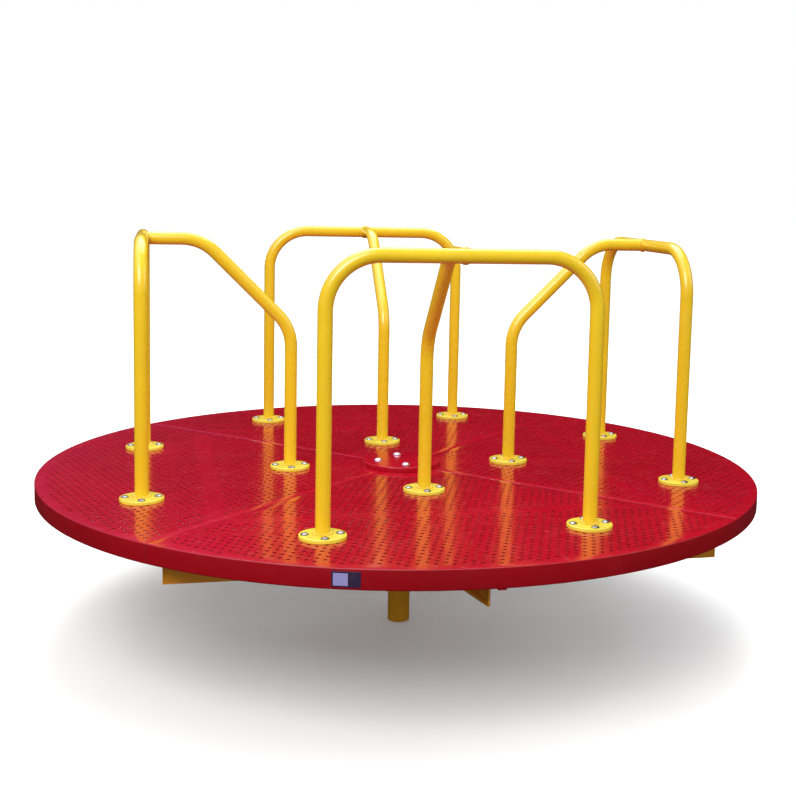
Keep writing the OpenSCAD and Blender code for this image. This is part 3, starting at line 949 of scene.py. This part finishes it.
# ---------------------------------------------------------------- camera
def build_camera():
    """Camera in front and to the left, at a distance in step with the deck's radius."""
    data = bpy.data.cameras.new("cam")
    data.sensor_width = 36
    data.sensor_fit = "HORIZONTAL"
    data.lens = 56.070452261
    data.shift_x = -0.080929648
    data.shift_y = -0.076042714
    data.clip_end = 200
    camera = bpy.data.objects.new("cam", data)
    scene.collection.objects.link(camera)
    scale = DECK_R / 1.219      # the position is given for a 1.219 m deck radius
    place = (-0.82020 * scale, -4.19636 * scale, DECK_TOP + 0.95831 * scale)
    # columns: the camera's right, up and backward directions
    axes = ((0.9715768, 0.0038136, -0.236694),
            (-0.2354334, 0.1198583, -0.9644714),
            (0.0246917, 0.9927837, 0.1173494))
    rows = [(*row, offset) for row, offset in zip(axes, place)]
    camera.matrix_world = Matrix((*rows, (0, 0, 0, 1)))
    scene.camera = camera


build_camera()


# ---------------------------------------------------------------- floor
def floor_material():
    """Pale to the camera, dark to reflected and bounced light; a painted glow, seen only by the
    camera, grows away from the post, lifting the floor to white far off and leaving a darker
    painted shadow near the post.
    """
    s = Surface("studio_floor")
    pale = s.ramp(s.noise(scale=1.2, detail=3), [(0.3, grey(0.90)), (0.7, grey(0.93))])
    rays = s.node("ShaderNodeLightPath").outputs
    dim = s.mix(rays["Is Glossy Ray"], grey(0.10), grey(0.015))
    s.set("Base Color", s.mix(rays["Is Camera Ray"], dim, pale))
    s.set("Emission Color", (1, 1, 1, 1))
    distance = s.node("ShaderNodeVectorMath")
    distance.operation = "LENGTH"
    s.feed(distance.inputs[0], s.place)
    # painted glow: weak near the post, which leaves the shadow there darker, and strong far
    # off, which paints the floor white
    painted_glow = s.remap(distance.outputs["Value"], span=(0.9, 2.6), to=(0.08, 0.45))
    s.set("Emission Strength", s.math("MULTIPLY", rays["Is Camera Ray"], by=painted_glow))
    s.set("Roughness", 1.0)
    s.set("Specular IOR Level", 0.0)
    return s.material


def build_floor():
    half = 60
    material = floor_material()
    mesh = bpy.data.meshes.new("studio_floor")
    corners = [(-half, -half, 0), (half, -half, 0), (half, half, 0), (-half, half, 0)]
    mesh.from_pydata(corners, [], [(0, 1, 2, 3)])
    mesh.materials.append(material)
    floor = bpy.data.objects.new("studio_floor", mesh)
    scene.collection.objects.link(floor)


build_floor()
scene.view_settings.view_transform = "Standard"


# ---------------------------------------------------------------- world
def build_world():
    """White to the camera, an even dome for diffuse light, a graded sky in reflections."""
    world = bpy.data.worlds.new("studio")
    scene.world = world
    world.use_nodes = True
    g = Graph(world.node_tree)

    def background(color, strength):
        node = g.node("ShaderNodeBackground")
        g.feed(node.inputs[0], color)
        node.inputs[1].default_value = strength
        return node.outputs[0]

    def switch(factor, first, second):
        node = g.node("ShaderNodeMixShader")
        for socket, source in zip(node.inputs, (factor, first, second)):
            g.feed(socket, source)
        return node.outputs[0]

    output = g.node("ShaderNodeOutputWorld")
    white = background(grey(1), strength=1.0)
    dome = background(grey(1), strength=0.75)
    direction = g.node("ShaderNodeSeparateXYZ")
    g.feed(direction.inputs[0], g.node("ShaderNodeTexCoord").outputs["Generated"])
    # brightness by height, then a tint from bluish on the left to reddish on the right
    sky = g.ramp(direction.outputs[2], [
        (0.0, grey(0.034)), (0.17, (0.034, 0.033, 0.034, 1)),
        (0.24, (0.022, 0.020, 0.022, 1)), (0.33, (0.045, 0.043, 0.048, 1)),
        (0.5, (0.22, 0.22, 0.24, 1)), (0.8, grey(1.0)),
    ])
    leftness = g.remap(direction.outputs[0], span=(-0.14, 0.10), to=(1.0, 0.0))
    tint = g.mix(leftness, (0.22, 0.12, 0.16, 1), (1.4, 1.4, 2.9, 1))
    reflected = background(g.mix(1.0, sky, tint, blend="MULTIPLY"), strength=1.0)
    rays = g.node("ShaderNodeLightPath").outputs
    unseen = switch(rays["Is Glossy Ray"], dome, reflected)
    g.feed(output.inputs[0], switch(rays["Is Camera Ray"], unseen, white))


build_world()


# ---------------------------------------------------------------- lights
def area_light(name, place, target, size, power, color=(1, 1, 1)):
    light = bpy.data.lights.new(name, "AREA")
    light.shape = "RECTANGLE"
    light.size, light.size_y = size
    light.energy = power
    light.color = color
    obj = bpy.data.objects.new(name, light)
    scene.collection.objects.link(obj)
    obj.location = place
    aim = Vector(target) - Vector(place)
    obj.rotation_euler = aim.to_track_quat("-Z", "Y").to_euler()


area_light("key", place=(-2.8, -4.6, 4.6), target=(0, 0, 0.7), size=(4.0, 3.0), power=290,
           color=(1.0, 0.98, 0.95))
area_light("fill", place=(4.5, -2.0, 3.5), target=(0, 0, 0.8), size=(3.0, 3.0), power=60,
           color=(0.95, 0.97, 1.0))
area_light("top", place=(0.5, 2.3, 6.4), target=(0, 0.3, 0.5), size=(5.0, 5.0), power=310)
